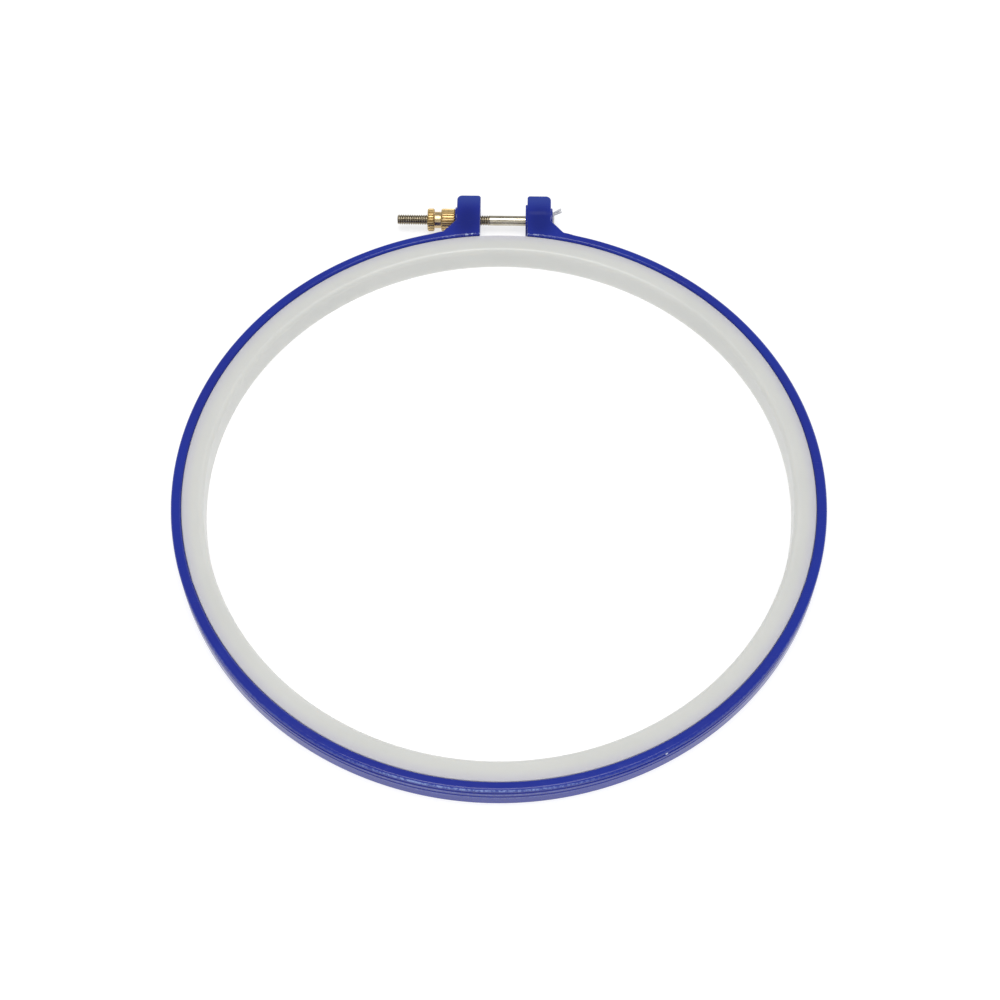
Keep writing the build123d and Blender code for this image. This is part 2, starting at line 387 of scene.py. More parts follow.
# =============================================================== inner ring
def inner_ring():
    inner, outside, h = 94.3, 101.28, 8.9
    corners = [(inner, 0.0, 0.06, 2), (outside, 0.0, 0.4, 6), (outside, h, 0.3, 6), (inner, h, 1.7, 18)]
    section = []
    for k, (r, z, radius, steps) in enumerate(corners):
        p = corners[k - 1][:2]
        q = corners[(k + 1) % 4][:2]
        section += [pt for pt, _ in round_corner(p, (r, z), q, radius, steps)]
    # a support point on each wall keeps the quads even
    full = []
    for k, p in enumerate(section):
        q = section[(k + 1) % len(section)]
        full.append(p)
        span = float(np.linalg.norm(q - p))
        for j in range(1, int(span // 1.6) + 1):
            full.append(p + (q - p) * j / (int(span // 1.6) + 1))
    around, count = 600, len(full)
    verts, faces = [], []
    for k in range(around):
        t = 2 * math.pi * k / around
        verts += [(r * math.cos(t), r * math.sin(t), z) for r, z in full]
    for k in range(around):
        a, b = k * count, ((k + 1) % around) * count
        faces += [(a + i, b + i, b + (i + 1) % count, a + (i + 1) % count) for i in range(count)]
    ring = mesh_object("inner_ring_piece", verts, faces)
    tidy(ring, merge=0)
    smooth(ring, 34.0)
    return ring


# ===================================================================== bolt
def threaded(name, x0, x1, pitch, crest, root, chamfer, around=48, fade=1.2, smooth_to=None):
    """Screw thread as a closed skin from x0, the chamfered tip, to x1, where it runs out into the plain shank.
    smooth_to is not used.
    """
    # share of the pitch, share of the depth
    shape = [(0.00, 0.0), (0.07, 0.0), (0.16, 0.30), (0.26, 0.72), (0.33, 0.96), (0.37, 1.0), (0.63, 1.0), (0.67, 0.96), (0.74, 0.72), (0.84, 0.30), (0.95, 0.02)]
    turns = int((x1 - x0) / pitch) + 3
    verts, faces = [], []
    cols = None
    for i in range(around):
        t = 2 * math.pi * i / around
        row = []
        for k in range(-2, turns):
            for s, h in shape:
                x = x0 + pitch * (k + s + i / around)
                cx = min(max(x, x0), x1)
                r = root + (crest - root) * h
                r = min(r, crest - chamfer + (cx - x0) * 0.95)
                run = ease((x1 - cx) / fade)
                r = crest + (r - crest) * float(run)
                if x < x0:
                    r = crest - chamfer - 0.0001
                row.append((cx, r))
        cols = len(row)
        for cx, r in row:
            verts.append((cx, BOLT_Y + r * math.cos(t), BOLT_Z + r * math.sin(t)))
    for i in range(around):
        a, b = i * cols, ((i + 1) % around) * cols
        if i == around - 1:
            # one full turn on, the thread has moved by one pitch
            step = len(shape)
            for j in range(cols - 1 - step):
                faces.append((a + j, a + j + 1, b + j + 1 + step, b + j + step))
        else:
            for j in range(cols - 1):
                faces.append((a + j, a + j + 1, b + j + 1, b + j))
    return verts, faces


def bolt():
    tip, end = -37.3, -4.8
    crest, root = 1.75, 1.38
    verts, faces = threaded("thread", tip, end, 0.794, crest, root, 0.35)
    obj = mesh_object("clamp_bolt_piece", verts, faces)
    bm = bmesh.new()
    bm.from_mesh(obj.data)
    bmesh.ops.remove_doubles(bm, verts=bm.verts, dist=2e-6)
    bmesh.ops.dissolve_degenerate(bm, dist=1e-7, edges=bm.edges)
    bmesh.ops.delete(bm, geom=[v for v in bm.verts if not v.link_faces], context="VERTS")
    # shank and fillet grow out of the thread's last ring
    rim = [e for e in bm.edges if len(e.link_faces) == 1 and e.verts[0].co.x > (end - 0.01) * MM and e.verts[1].co.x > (end - 0.01) * MM]
    face = [e for e in bm.edges if len(e.link_faces) == 1 and e.verts[0].co.x < (tip + 0.01) * MM and e.verts[1].co.x < (tip + 0.01) * MM]

    def grow(edges, steps):
        for x, scale in steps:
            got = bmesh.ops.extrude_edge_only(bm, edges=edges)["geom"]
            new = [g for g in got if isinstance(g, bmesh.types.BMVert)]
            for v in new:
                y, z = v.co.y - BOLT_Y * MM, v.co.z - BOLT_Z * MM
                r = math.hypot(y, z)
                k = scale * MM / r
                v.co = (x * MM, BOLT_Y * MM + y * k, BOLT_Z * MM + z * k)
            edges = [g for g in got if isinstance(g, bmesh.types.BMEdge) and all(v in new for v in g.verts)]
        return edges

    last = grow(rim, [(-4.6, crest), (-1.0, crest), (4.0, crest), (9.0, crest), (12.6, crest), (13.9, crest), (14.05, crest + 0.03), (14.13, crest + 0.11), (14.15, crest + 0.20)])
    bmesh.ops.contextual_create(bm, geom=last)
    last = grow(face, [(tip - 0.0, crest - 0.35 - 0.06), (tip + 0.02, 1.0), (tip + 0.03, 0.45)])
    bmesh.ops.contextual_create(bm, geom=last)
    bmesh.ops.recalc_face_normals(bm, faces=bm.faces)
    bm.to_mesh(obj.data)
    bm.free()

    # hexagon head, its corners turned off at 30 degrees, with a shallow dish
    head_x0, head_x1 = 14.15, 16.55
    hex_r = 6.0 / 2 / math.cos(math.pi / 6)
    hv, hf = [], []
    for x, r in ((head_x0, hex_r), (head_x1, hex_r)):
        for k in range(6):
            t = math.radians(60 * k)
            hv.append((x, BOLT_Y + r * math.cos(t), BOLT_Z + r * math.sin(t)))
    hf = [(k, (k + 1) % 6, 6 + (k + 1) % 6, 6 + k) for k in range(6)] + [tuple(range(5, -1, -1)), tuple(range(6, 12))]
    head = mesh_object("head", hv, hf)
    tidy(head)
    cone = lathe(
        "cone",
        [(head_x0, 0.0), (head_x0, 2.90), (head_x0 + 0.16, 3.02), (head_x0 + 0.55, 4.2), (head_x1 - 0.62, 4.2), (head_x1 - 0.06, 2.96), (head_x1 - 0.02, 2.84), (head_x1, 2.74),
         (head_x1 - 0.02, 2.55), (head_x1 - 0.14, 1.9), (head_x1 - 0.22, 1.0), (head_x1 - 0.24, 0.0)],
        BOLT_Y, BOLT_Z, 96,
    )
    boolean(head, cone, "INTERSECT")
    boolean(obj, head, "UNION")
    smooth(obj, 38.0)
    return obj


# ====================================================================== nut
def nut():
    x1 = -17.1
    x_barrel, x_neck, x0 = x1 - 4.8, x1 - 4.8 - 2.45, x1 - 4.8 - 2.45 - 2.35
    R, neck, bore = 3.95, 2.85, 1.85
    teeth, per = 24, 16
    around = teeth * per
    depth = 0.42

    def profile_at(x, r):
        return r

    def tooth(t):
        """1 on a tooth's land, 0 in the groove between two."""
        s = (t / (2 * math.pi) * teeth) % 1.0
        edge = min(s, 1.0 - s)  # 0 in the middle of a groove
        return float(ease((edge - 0.03) / 0.25))

    # turned shape, from the bore at the barrel's end round the outside to the bore at the collar's end
    ch = 0.32
    prof = [
        (x1 - 0.22, bore, 0.0), (x1 - 0.02, bore + 0.32, 0.0), (x1, bore + 0.38, 0.0), (x1, 2.6, 0.0), (x1, R - ch - 0.05, 0.0), (x1 - 0.02, R - ch, 0.1),
        (x1 - 0.14, R - 0.18, 0.45), (x1 - 0.26, R - 0.05, 0.9), (x1 - 0.36, R, 1.0), (x1 - 1.6, R, 1.0), (x1 - 3.1, R, 1.0),
        (x_barrel + 0.36, R, 1.0), (x_barrel + 0.26, R - 0.05, 0.9), (x_barrel + 0.14, R - 0.18, 0.45), (x_barrel + 0.03, R - ch, 0.1), (x_barrel, R - ch - 0.06, 0.0),
        (x_barrel, neck + 0.30, 0.0), (x_barrel - 0.03, neck + 0.14, 0.0), (x_barrel - 0.12, neck + 0.03, 0.0), (x_barrel - 0.24, neck, 0.0),
        (x_barrel - 0.8, neck, 0.0), (x_barrel - 1.3, neck, 0.0), (x_barrel - 1.8, neck, 0.0),
        (x_neck + 0.24, neck, 0.0), (x_neck + 0.12, neck + 0.03, 0.0), (x_neck + 0.03, neck + 0.14, 0.0), (x_neck, neck + 0.30, 0.0),
        (x_neck, R - ch - 0.06, 0.0), (x_neck - 0.03, R - ch, 0.1), (x_neck - 0.14, R - 0.18, 0.45), (x_neck - 0.26, R - 0.05, 0.9), (x_neck - 0.36, R, 1.0),
        (x_neck - 1.17, R, 1.0), (x0 + 0.36, R, 1.0), (x0 + 0.26, R - 0.05, 0.9), (x0 + 0.14, R - 0.18, 0.45), (x0 + 0.03, R - ch, 0.1), (x0, R - ch - 0.06, 0.0),
        (x0, 2.6, 0.0), (x0, bore + 0.38, 0.0), (x0 + 0.02, bore + 0.32, 0.0), (x0 + 0.22, bore, 0.0),
    ]
    # thread inside the bore, cut outwards from it
    inside = []
    x = x0 + 0.42
    while x < x1 - 0.45:
        inside += [(x, bore, 0.0), (x + 0.17, bore + 0.20, 0.0), (x + 0.30, bore + 0.28, 0.0), (x + 0.46, bore + 0.20, 0.0), (x + 0.62, bore, 0.0)]
        x += 0.794
    prof += inside
    verts, faces = [], []
    for x, r, cut in prof:
        for k in range(around):
            t = 2 * math.pi * (k / around)
            rr = r - cut * depth * (1.0 - tooth(t))
            if cut and rr < R - depth - 1e-9:
                rr = min(r, max(rr, R - depth - 0.02))
            verts.append((x, BOLT_Y + rr * math.cos(t), BOLT_Z + rr * math.sin(t)))
    n = len(prof)
    for i in range(n):
        a, b = i * around, ((i + 1) % n) * around
        faces += [(a + k, a + (k + 1) % around, b + (k + 1) % around, b + k) for k in range(around)]
    obj = mesh_object("knurled_nut_piece", verts, faces)
    tidy(obj, merge=0)
    smooth(obj, 40.0)
    return obj


# =============================================================== nylon stub
def tube(points, radii, around=20, flat=(1.0, 1.0), name="tube"):
    """Closed round strand through the points, its ends capped flat."""
    pts = [Vector(p) for p in points]
    verts, faces = [], []
    side = Vector((0.3, 1.0, 0.2)).normalized()
    rings = []
    for k, p in enumerate(pts):
        d = (pts[min(k + 1, len(pts) - 1)] - pts[max(k - 1, 0)]).normalized()
        u = (side - d * side.dot(d)).normalized()
        v = d.cross(u)
        ring = []
        for j in range(around):
            t = 2 * math.pi * j / around
            ring.append(len(verts))
            verts.append(p + (u * math.cos(t) * flat[0] + v * math.sin(t) * flat[1]) * radii[k])
        rings.append(ring)
    for a, b in zip(rings, rings[1:]):
        faces += [(a[j], a[(j + 1) % around], b[(j + 1) % around], b[j]) for j in range(around)]
    faces += [tuple(reversed(rings[0])), tuple(rings[-1])]
    obj = mesh_object(name, [tuple(v) for v in verts], faces)
    tidy(obj)
    return obj


def stub():
    tilt = math.radians(30.0)
    along_bar = Vector((0, math.cos(tilt), math.sin(tilt)))
    mid = Vector((17.2, BOLT_Y, BOLT_Z))
    # bar across the pocket's mouth, waisted, with moulded ends
    half = 3.2
    pts, rad = [], []
    for k in range(31):
        s = -half + 2 * half * k / 30
        end = max(0.0, abs(s) - (half - 0.35)) / 0.35
        pts.append(mid + along_bar * s)
        rad.append((0.50 + 0.05 * abs(s / half) ** 3) * math.sqrt(max(0.02, 1 - end * end * 0.92)))
    bar = tube(pts, rad, 24, name="tag_fastener_piece")
    for start, lean, bow in (
        (2.15, Vector((2.75, 0.62, 1.0)), Vector((0.0, 0.08, -0.05))),
        (2.72, Vector((2.75, 0.95, 1.3)), Vector((0.0, -0.06, 0.07))),
    ):
        s0 = mid + along_bar * start + Vector((0.05, 0, 0))
        d = lean.normalized()
        pts, rad = [], []
        for k in range(19):
            t = k / 18
            pts.append(s0 + d * (3.24 * t) + bow * math.sin(math.pi * t))
            r = 0.40 - 0.02 * math.sin(math.pi * t)
            if t > 0.9:
                r *= 1.0 - 2.2 * (t - 0.9)
            rad.append(r)
        strand = tube(pts, rad, 20, flat=(1.0, 0.86), name="strand")
        boolean(bar, strand, "UNION")
    smooth(bar, 42.0)
    return bar


# ================================================================ materials
class Nodes:
    """Short hand for a material's node tree."""

    def __init__(self, name, base, rough, metallic=0.0):
        self.mat = bpy.data.materials.new(name)
        self.mat.use_nodes = True
        self.tree = self.mat.node_tree
        self.bsdf = self.tree.nodes["Principled BSDF"]
        self.mat.diffuse_color = (*base, 1.0)
        self.set("Base Color", (*base, 1.0))
        self.set("Roughness", rough)
        self.set("Metallic", metallic)
        self.coord = self.tree.nodes.new("ShaderNodeTexCoord").outputs["Object"]

    def set(self, socket, value):
        self.bsdf.inputs[socket].default_value = value

    def join(self, out, socket):
        self.tree.links.new(out, socket)

    def into(self, out, name):
        self.join(out, self.bsdf.inputs[name])

    def put(self, value, socket):
        if isinstance(value, bpy.types.NodeSocket):
            self.join(value, socket)
        else:
            socket.default_value = value

    def math(self, op, a, b=0.0, c=None, clamp=False):
        n = self.tree.nodes.new("ShaderNodeMath")
        n.operation = op
        n.use_clamp = clamp
        self.put(a, n.inputs[0])
        self.put(b, n.inputs[1])
        if c is not None:
            self.put(c, n.inputs[2])
        return n.outputs[0]

    def place(self, scale=(1, 1, 1), turn=(0, 0, 0), shift=(0, 0, 0), vector=None):
        n = self.tree.nodes.new("ShaderNodeMapping")
        n.inputs["Location"].default_value = shift
        n.inputs["Rotation"].default_value = turn
        n.inputs["Scale"].default_value = scale
        self.join(vector or self.coord, n.inputs["Vector"])
        return n.outputs[0]

    def noise(self, scale, detail=2.0, rough=0.5, vector=None, distort=0.0):
        n = self.tree.nodes.new("ShaderNodeTexNoise")
        n.inputs["Scale"].default_value = scale
        n.inputs["Detail"].default_value = detail
        n.inputs["Roughness"].default_value = rough
        n.inputs["Distortion"].default_value = distort
        self.join(vector or self.coord, n.inputs["Vector"])
        return n.outputs["Fac"]

    def speck(self, scale, vector=None):
        n = self.tree.nodes.new("ShaderNodeTexVoronoi")
        n.inputs["Scale"].default_value = scale
        self.join(vector or self.coord, n.inputs["Vector"])
        return n.outputs["Distance"], n.outputs["Color"]

    def fit(self, value, a, b, c=0.0, d=1.0, soft=True):
        n = self.tree.nodes.new("ShaderNodeMapRange")
        n.interpolation_type = "SMOOTHSTEP" if soft else "LINEAR"
        for k, v in zip(("From Min", "From Max", "To Min", "To Max"), (a, b, c, d)):
            n.inputs[k].default_value = v
        self.put(value, n.inputs["Value"])
        return n.outputs[0]

    def mix(self, factor, a, b, how="MIX"):
        n = self.tree.nodes.new("ShaderNodeMix")
        n.data_type = "RGBA"
        n.blend_type = how
        self.put(factor, n.inputs["Factor"])
        for value, k in ((a, 6), (b, 7)):
            if isinstance(value, bpy.types.NodeSocket):
                self.join(value, n.inputs[k])
            else:
                n.inputs[k].default_value = (*value, 1.0)
        return n.outputs[2]

    def bump(self, height, strength, distance, normal=None):
        n = self.tree.nodes.new("ShaderNodeBump")
        n.inputs["Strength"].default_value = strength
        n.inputs["Distance"].default_value = distance
        self.join(height, n.inputs["Height"])
        if normal is not None:
            self.join(normal, n.inputs["Normal"])
        return n.outputs[0]

    def xyz(self, vector=None):
        n = self.tree.nodes.new("ShaderNodeSeparateXYZ")
        self.join(vector or self.coord, n.inputs[0])
        return n.outputs

    def scratches(self, density=0.012):
        """Fine scratches in a few directions: 1 in a scratch, 0 beside it."""
        out = None
        for turn, scale, shift in (((0, 0, 0.5), (70, 5200, 1400), (0, 0, 0)), ((0, 0, 2.0), (90, 6100, 1400), (3, 1, 2)), ((0, 0, -0.9), (60, 4700, 1400), (7, 5, 1))):
            v = self.place(scale, turn, shift)
            n = self.noise(1.0, 0.0, 0.5, v)
            line = self.fit(self.math("ABSOLUTE", self.math("SUBTRACT", n, 0.5)), 0.0, density, 1.0, 0.0)
            patch = self.fit(self.noise(90.0, 1.0, 0.5, self.place((1, 1, 1), (0, 0, 0), shift)), 0.56, 0.66)
            line = self.math("MULTIPLY", line, patch)
            out = line if out is None else self.math("MAXIMUM", out, line)
        return out


def bolt_radius(m):
    """Distance from the bolt's axis, in metres."""
    x, y, z = m.xyz()
    dy = m.math("SUBTRACT", y, BOLT_Y * MM)
    dz = m.math("SUBTRACT", z, BOLT_Z * MM)
    return m.math("SQRT", m.math("ADD", m.math("MULTIPLY", dy, dy), m.math("MULTIPLY", dz, dz))), x


def blue_plastic():
    m = Nodes("blue_plastic", (0.006, 0.023, 0.30), 0.27)
    m.set("IOR", 1.40)
    x, y, z = m.xyz()
    # painted shade about the lugs' roots and a painted highlight toward their tips: darker about their roots, paler at
    # their tips
    ax = m.math("ABSOLUTE", x)
    dx = m.math("SUBTRACT", ax, 0.0126)
    dy = m.math("SUBTRACT", y, 0.1072)
    dist = m.math("SQRT", m.math("ADD", m.math("MULTIPLY", dx, dx), m.math("MULTIPLY", m.math("MULTIPLY", dy, 0.70), m.math("MULTIPLY", dy, 0.70))))
    painted_root_shade = m.fit(dist, 0.0012, 0.0075, 1.0, 0.0)
    tip = m.fit(y, 0.1120, 0.1184, 0.0, 1.0)
    cloud = m.noise(26.0, 3.0, 0.55)
    fleck = m.noise(130.0, 3.0, 0.6, m.place((1, 1, 1), (0, 0, 0), (4, 2, 9)))
    tone = m.mix(m.fit(cloud, 0.32, 0.68), (0.0135, 0.0250, 0.292), (0.0120, 0.0300, 0.325))
    tone = m.mix(m.math("MULTIPLY", m.fit(fleck, 0.50, 0.72), 0.30), tone, (0.012, 0.034, 0.335))
    tone = m.mix(m.math("MULTIPLY", painted_root_shade, 0.66), tone, (0.0025, 0.0085, 0.150))
    tone = m.mix(m.math("MULTIPLY", tip, 0.70), tone, (0.042, 0.074, 0.330))
    # a painted highlight: a paler line across the lug that holds the bolt's head, where a faint ridge catches the light
    ridge_highlight = m.math("MULTIPLY", m.fit(m.math("ABSOLUTE", m.math("SUBTRACT", y, 0.1108)), 0.0002, 0.0013, 1.0, 0.0), m.fit(x, 0.0080, 0.0090, 0.0, 1.0))
    ridge_highlight = m.math("MULTIPLY", ridge_highlight, m.fit(m.noise(300.0, 2.0, 0.5), 0.25, 0.65, 0.25, 1.0))
    tone = m.mix(m.math("MULTIPLY", ridge_highlight, 0.42), tone, (0.050, 0.062, 0.270))
    # pale broken marks that stand in for the glints seen along the outer top edge and, more faintly, the grooves' lips: most on the side away from the clamp
    radius = m.math("SQRT", m.math("ADD", m.math("MULTIPLY", x, x), m.math("MULTIPLY", y, y)))
    edge = m.fit(m.math("ABSOLUTE", m.math("SUBTRACT", z, 0.00905)), 0.00014, 0.00036, 1.0, 0.0)
    lips = m.math("MAXIMUM", m.fit(m.math("ABSOLUTE", m.math("SUBTRACT", z, 0.0065)), 0.00015, 0.00050, 1.0, 0.0), m.fit(m.math("ABSOLUTE", m.math("SUBTRACT", z, 0.0042)), 0.00015, 0.00040, 1.0, 0.0))
    edge = m.math("MAXIMUM", edge, m.math("MULTIPLY", lips, 0.32))
    edge = m.math("MULTIPLY", edge, m.fit(radius, 0.1038, 0.1041, 0.0, 1.0))
    edge = m.math("MULTIPLY", edge, m.math("MULTIPLY", m.fit(y, -0.085, 0.000, 1.0, 0.30), m.fit(m.math("ABSOLUTE", m.math("ADD", x, 0.007)), 0.018, 0.044, 1.0, 0.14)))
    # noise that breaks the painted glints into pale specks
    glint_breakup = m.noise(1050.0, 2.0, 0.6, m.place((1, 1, 0.8), (0, 0, 0), (7, 1, 3)))
    edge = m.math("MULTIPLY", edge, m.fit(glint_breakup, 0.40, 0.62, 0.22, 1.0))
    edge = m.math("MULTIPLY", edge, m.fit(radius, 0.1048, 0.1052, 1.0, 0.0))
    tone = m.mix(m.math("MULTIPLY", edge, 0.90), tone, (0.28, 0.37, 0.70))
    # a painted glint on the moulding gate's stump in the groove
    nub = m.math("ADD", m.math("POWER", m.math("SUBTRACT", x, 0.10445 * math.sin(math.radians(NUB_AT))), 2.0), m.math("POWER", m.math("SUBTRACT", y, 0.10445 * math.cos(math.radians(NUB_AT))), 2.0))
    nub = m.math("SQRT", m.math("ADD", nub, m.math("POWER", m.math("SUBTRACT", z, 0.00774), 2.0)))
    nub = m.fit(nub, 0.00038, 0.00056, 1.0, 0.0)
    tone = m.mix(m.math("MULTIPLY", nub, 0.95), tone, (0.80, 0.86, 0.98))
    # painted glints along the inner edge at the foot of each lug, more on the nut's side
    inner_edge_glint = m.math("MULTIPLY", m.fit(m.math("ABSOLUTE", m.math("SUBTRACT", radius, 0.10188)), 0.00014, 0.00034, 1.0, 0.0), m.fit(y, 0.0985, 0.1000, 0.0, 1.0))
    inner_edge_glint = m.math("MULTIPLY", inner_edge_glint, m.math("MULTIPLY", m.fit(z, 0.0088, 0.0091, 0.0, 1.0), m.math("MULTIPLY", m.fit(x, -0.004, 0.004, 1.0, 0.45), m.fit(ax, 0.0110, 0.0155, 1.0, 0.20))))
    inner_edge_glint = m.math("MULTIPLY", inner_edge_glint, m.fit(m.noise(800.0, 2.0, 0.6, m.place((1, 1, 1), (0, 0, 0), (3, 8, 5))), 0.50, 0.60))
    tone = m.mix(m.math("MULTIPLY", inner_edge_glint, 0.90), tone, (0.52, 0.62, 0.90))
    scratch = m.scratches()
    tone = m.mix(m.math("MULTIPLY", scratch, 0.10), tone, (0.08, 0.11, 0.42))
    near, pick = m.speck(420.0)
    dust = m.math("MULTIPLY", m.fit(near, 0.05, 0.09, 1.0, 0.0), m.fit(m.xyz(pick)[0], 0.975, 0.985))
    tone = m.mix(m.math("MULTIPLY", dust, 0.25), tone, (0.30, 0.32, 0.50))
    m.into(tone, "Base Color")
    grain = m.noise(1500.0, 3.0, 0.6)
    wave = m.noise(210.0, 2.0, 0.55)
    r = m.fit(m.noise(240.0, 3.0, 0.6), 0.3, 0.75, 0.15, 0.24)
    r = m.math("ADD", r, m.math("MULTIPLY", scratch, 0.22))
    r = m.math("ADD", r, m.math("MULTIPLY", dust, 0.30), clamp=True)
    m.into(r, "Roughness")
    # the groove mirrors less, as seen everywhere but opposite the clamp: a stand-in for a deeper, wider groove
    dull = m.math("MULTIPLY", m.fit(m.math("ABSOLUTE", m.math("SUBTRACT", z, 0.0073)), 0.0008, 0.0012, 1.0, 0.0), m.fit(radius, 0.1036, 0.1040, 0.0, 1.0))
    dull = m.math("MULTIPLY", dull, m.math("MULTIPLY", m.fit(ax, 0.018, 0.046, 0.0, 1.0), m.fit(radius, 0.1047, 0.1049, 1.0, 0.0)))
    m.into(m.fit(dull, 0.0, 1.0, 0.45, 0.06, soft=False), "Specular IOR Level")
    # moulded edges catch the light unevenly: the skin ripples more where it turns over
    level = m.fit(z, 0.0020, 0.0086, 0.20, 1.0)
    ripple = m.noise(620.0, 2.0, 0.6, m.place((1, 1, 0.6)))
    n = m.bump(wave, 0.30, 0.00016)
    n = m.bump(m.math("MULTIPLY", ripple, level), 0.45, 0.00007, n)
    n = m.bump(grain, 0.30, 0.000022, n)
    n = m.bump(m.math("SUBTRACT", 1.0, scratch), 0.25, 0.000012, n)
    m.into(n, "Normal")
    return m.mat


def white_plastic():
    m = Nodes("white_plastic", (0.645, 0.655, 0.63), 0.36)
    m.set("IOR", 1.47)
    m.set("Subsurface Weight", 0.75)
    m.set("Subsurface Radius", (1.0, 0.95, 0.88))
    m.set("Subsurface Scale", 0.0026)
    x, y, z = m.xyz()
    radius = m.math("SQRT", m.math("ADD", m.math("MULTIPLY", x, x), m.math("MULTIPLY", y, y)))
    cloud = m.noise(38.0, 3.0, 0.5)
    tone = m.mix(m.fit(cloud, 0.3, 0.7), (0.690, 0.695, 0.672), (0.716, 0.720, 0.696))
    # painted shade and painted bluish reflection from the blue ring: the outer margin takes a cooler, greyer cast, less
    # of it low down
    blue_bleed_and_shade = m.math("MULTIPLY", m.fit(radius, 0.0975, 0.1012, 0.0, 1.0), m.fit(z, 0.0040, 0.0078, 0.30, 1.0))
    tone = m.mix(m.math("MULTIPLY", blue_bleed_and_shade, 0.80), tone, (0.620, 0.608, 0.670))
    scratch = m.scratches(0.010)
    tone = m.mix(m.math("MULTIPLY", scratch, 0.16), tone, (0.52, 0.52, 0.50))
    near, pick = m.speck(300.0)
    dust = m.math("MULTIPLY", m.fit(near, 0.04, 0.08, 1.0, 0.0), m.fit(m.xyz(pick)[0], 0.965, 0.975))
    tone = m.mix(m.math("MULTIPLY", dust, 0.30), tone, (0.46, 0.44, 0.40))
    m.into(tone, "Base Color")
    r = m.fit(m.noise(210.0, 3.0, 0.6), 0.3, 0.75, 0.29, 0.33)
    r = m.math("ADD", r, m.math("MULTIPLY", scratch, 0.18), clamp=True)
    m.into(r, "Roughness")
    n = m.bump(m.noise(150.0, 1.0, 0.5), 0.30, 0.00013)
    n = m.bump(m.noise(1700.0, 2.0, 0.6), 0.25, 0.000016, n)
    n = m.bump(m.math("SUBTRACT", 1.0, scratch), 0.25, 0.000010, n)
    m.into(n, "Normal")
    return m.mat


def steel():
    m = Nodes("plated_steel", (0.62, 0.56, 0.44), 0.22, 1.0)
    r, x = bolt_radius(m)
    # yellowish plating, worn to a paler grey in places, darker in the thread's roots
    patch = m.noise(260.0, 4.0, 0.6)
    ring_marks = m.noise(1.0, 2.0, 0.6, m.place((2600, 60, 60)))
    tone = m.mix(m.fit(patch, 0.35, 0.68), (0.42, 0.375, 0.28), (0.53, 0.49, 0.40))
    root = m.fit(r, 0.00134, 0.00166, 1.0, 0.0)
    threaded_part = m.fit(x, -0.0052, -0.0046, 1.0, 0.0)
    tone = m.mix(m.math("MULTIPLY", threaded_part, 0.65), tone, (0.30, 0.25, 0.17))
    tone = m.mix(m.math("MULTIPLY", m.math("MULTIPLY", root, threaded_part), 0.60), tone, (0.20, 0.16, 0.10))
    m.into(tone, "Base Color")
    rr = m.fit(patch, 0.3, 0.7, 0.16, 0.28)
    rr = m.math("ADD", rr, m.math("MULTIPLY", threaded_part, 0.10), clamp=True)
    m.into(rr, "Roughness")
    n = m.bump(ring_marks, 0.16, 0.000010)
    n = m.bump(m.noise(1900.0, 2.0, 0.5), 0.14, 0.000012, n)
    m.into(n, "Normal")
    return m.mat


def brass():
    m = Nodes("nut_brass", (0.72, 0.53, 0.25), 0.42, 1.0)
    r, x = bolt_radius(m)
    patch = m.noise(320.0, 4.0, 0.6)
    tone = m.mix(m.fit(patch, 0.35, 0.7), (0.74, 0.53, 0.235), (0.86, 0.65, 0.33))
    # darker in the knurl's grooves and on the turned corners
    groove = m.fit(r, 0.00362, 0.00388, 1.0, 0.0)
    outside = m.fit(r, 0.0032, 0.0035, 0.0, 1.0)
    tone = m.mix(m.math("MULTIPLY", m.math("MULTIPLY", groove, outside), 0.72), tone, (0.24, 0.155, 0.06))
    neck = m.math("MULTIPLY", m.fit(r, 0.0026, 0.0027, 0.0, 1.0), m.fit(r, 0.0029, 0.0031, 1.0, 0.0))
    tone = m.mix(m.math("MULTIPLY", neck, 0.60), tone, (0.60, 0.46, 0.27))
    m.into(tone, "Base Color")
    rough = m.fit(m.noise(600.0, 3.0, 0.6), 0.3, 0.7, 0.36, 0.50)
    m.into(m.math("SUBTRACT", rough, m.math("MULTIPLY", neck, 0.10)), "Roughness")
    turned = m.noise(1.0, 2.0, 0.6, m.place((3200, 50, 50)))
    n = m.bump(turned, 0.22, 0.000012)
    n = m.bump(m.noise(1600.0, 2.0, 0.5), 0.22, 0.000016, n)
    m.into(n, "Normal")
    return m.mat


def nylon():
    m = Nodes("clear_nylon", (0.62, 0.62, 0.62), 0.34)
    m.set("IOR", 1.50)
    m.set("Transmission Weight", 0.06)
    m.set("Subsurface Weight", 0.35)
    m.set("Subsurface Radius", (1.0, 0.95, 0.9))
    m.set("Subsurface Scale", 0.0006)
    tone = m.mix(m.fit(m.noise(900.0, 3.0, 0.6), 0.3, 0.7), (0.60, 0.60, 0.61), (0.78, 0.78, 0.79))
    m.into(tone, "Base Color")
    m.into(m.fit(m.noise(1200.0, 2.0, 0.6), 0.3, 0.7, 0.26, 0.42), "Roughness")
    m.into(m.bump(m.noise(2200.0, 2.0, 0.5), 0.25, 0.000015), "Normal")
    return m.mat


def floor_material():
    m = Nodes("pale_table", (0.42, 0.42, 0.42), 0.85)
    tone = m.mix(m.fit(m.noise(3.0, 2.0, 0.5), 0.3, 0.7), (0.415, 0.415, 0.415), (0.425, 0.425, 0.425))
    m.into(tone, "Base Color")
    m.set("Specular IOR Level", 0.0)
    m.set("Emission Color", (1.0, 1.0, 1.0, 1.0))
    m.set("Emission Strength", 0.70)
    return m.mat


# =================================================================== pieces
blue, white = blue_plastic(), white_plastic()

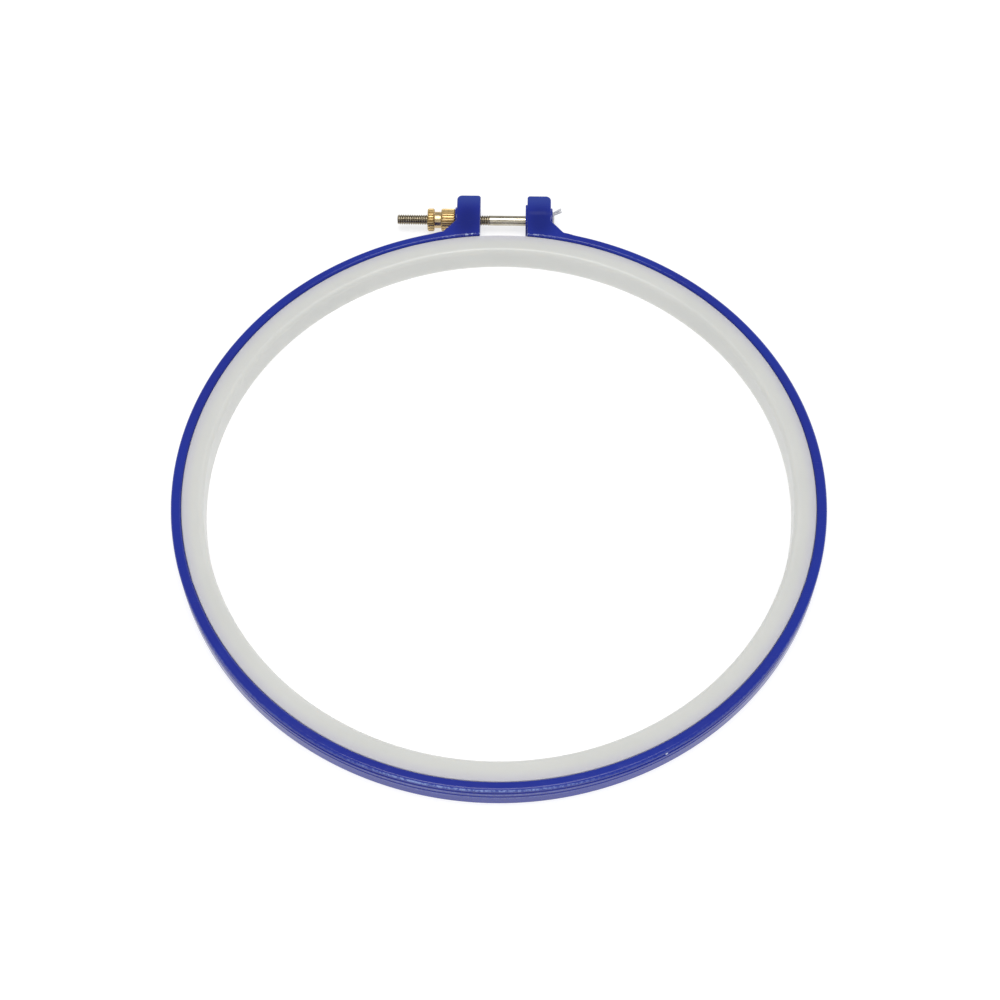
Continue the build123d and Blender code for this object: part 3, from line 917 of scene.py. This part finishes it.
ring = outer_ring()
ring.data.materials.clear()
ring.data.materials.append(blue)
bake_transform(ring)
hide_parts("outer_ring_right", "outer_ring_left")

inner = inner_ring()
inner.data.materials.append(white)
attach(inner, "inner_ring")
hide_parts("inner_ring")

screw = bolt()
screw.data.materials.clear()
screw.data.materials.append(steel())
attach(screw, "bolt")
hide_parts("clamp_bolt")

thumb = nut()
thumb.data.materials.append(brass())
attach(thumb, "nut")
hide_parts("knurled_nut")

tag = stub()
tag.data.materials.clear()
tag.data.materials.append(nylon())
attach(tag, "ring_right")
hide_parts("tag_fastener_stub")

# ==================================================================== stage
floor = mesh_object("table", [(-6000, -6000, -0.05), (6000, -6000, -0.05), (6000, 6000, -0.05), (-6000, 6000, -0.05)], [(0, 1, 2, 3)])
floor.data.materials.append(floor_material())

world = bpy.data.worlds.new("studio")
scene.world = world
world.use_nodes = True
world.node_tree.nodes["Background"].inputs["Color"].default_value = (0.96, 0.98, 1.0, 1.0)
world.node_tree.nodes["Background"].inputs["Strength"].default_value = 0.45


def lamp(name, kind, where, to, **values):
    data = bpy.data.lights.new(name, kind)
    obj = link(bpy.data.objects.new(name, data))
    obj.location = where
    obj.rotation_mode = "QUATERNION"
    obj.rotation_quaternion = (Vector(to) - Vector(where)).to_track_quat("-Z", "Y")
    for k, v in values.items():
        setattr(data, k, v)
    return obj


lamp("overhead", "SUN", (0.0, -0.10, 2.0), (0.0, 0.0, 0.0), energy=1.52, angle=math.radians(34.0), color=(1.0, 0.99, 0.97))
lamp("front", "AREA", (0.0, -1.45, 0.80), (0.0, 0.0, 0.0), energy=1.3, shape="RECTANGLE", size=0.8, size_y=0.45, color=(1.0, 0.99, 0.98))
lamp("back_right", "AREA", (0.95, 1.55, 0.50), (0.0, 0.0, 0.0), energy=3.2, shape="RECTANGLE", size=1.3, size_y=1.0, color=(1.0, 0.98, 0.97))

scene.view_settings.view_transform = "Standard"
scene.view_settings.look = "None"
scene.view_settings.exposure = 0.0
scene.view_settings.gamma = 1.0
